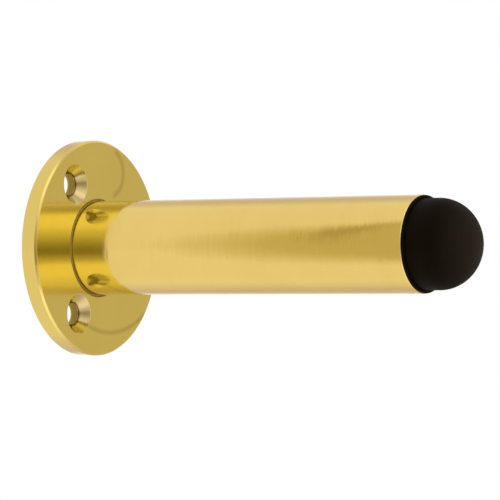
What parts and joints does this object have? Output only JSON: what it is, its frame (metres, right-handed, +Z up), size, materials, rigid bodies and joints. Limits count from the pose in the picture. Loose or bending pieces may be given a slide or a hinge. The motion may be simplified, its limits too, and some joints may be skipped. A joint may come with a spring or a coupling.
{
  "type": "wall door stop",
  "caption": "Wall-mounted door stop: a polished brass barrel on a round screw-on rose, with a domed black rubber buffer at its end.",
  "frame": {"origin": "centre of the rose's back face, on the wall plane", "axes": "-Y along the barrel away from the wall, +Z up, +Y into the wall; one wall screw hole lies on +X"},
  "size_m": [0.045, 0.0935, 0.045],
  "materials": {
    "rose_brass": "mirror polished",
    "barrel_brass": "polished, with fine marks round the bar",
    "screw_steel": "zinc plated",
    "buffer_rubber": "matt, moulded"
  },
  "bodies": {
    "root": {"rose": "rose_brass", "barrel": "barrel_brass", "fixing_screw": "screw_steel", "buffer": "buffer_rubber"}
  },
  "joints": []
}
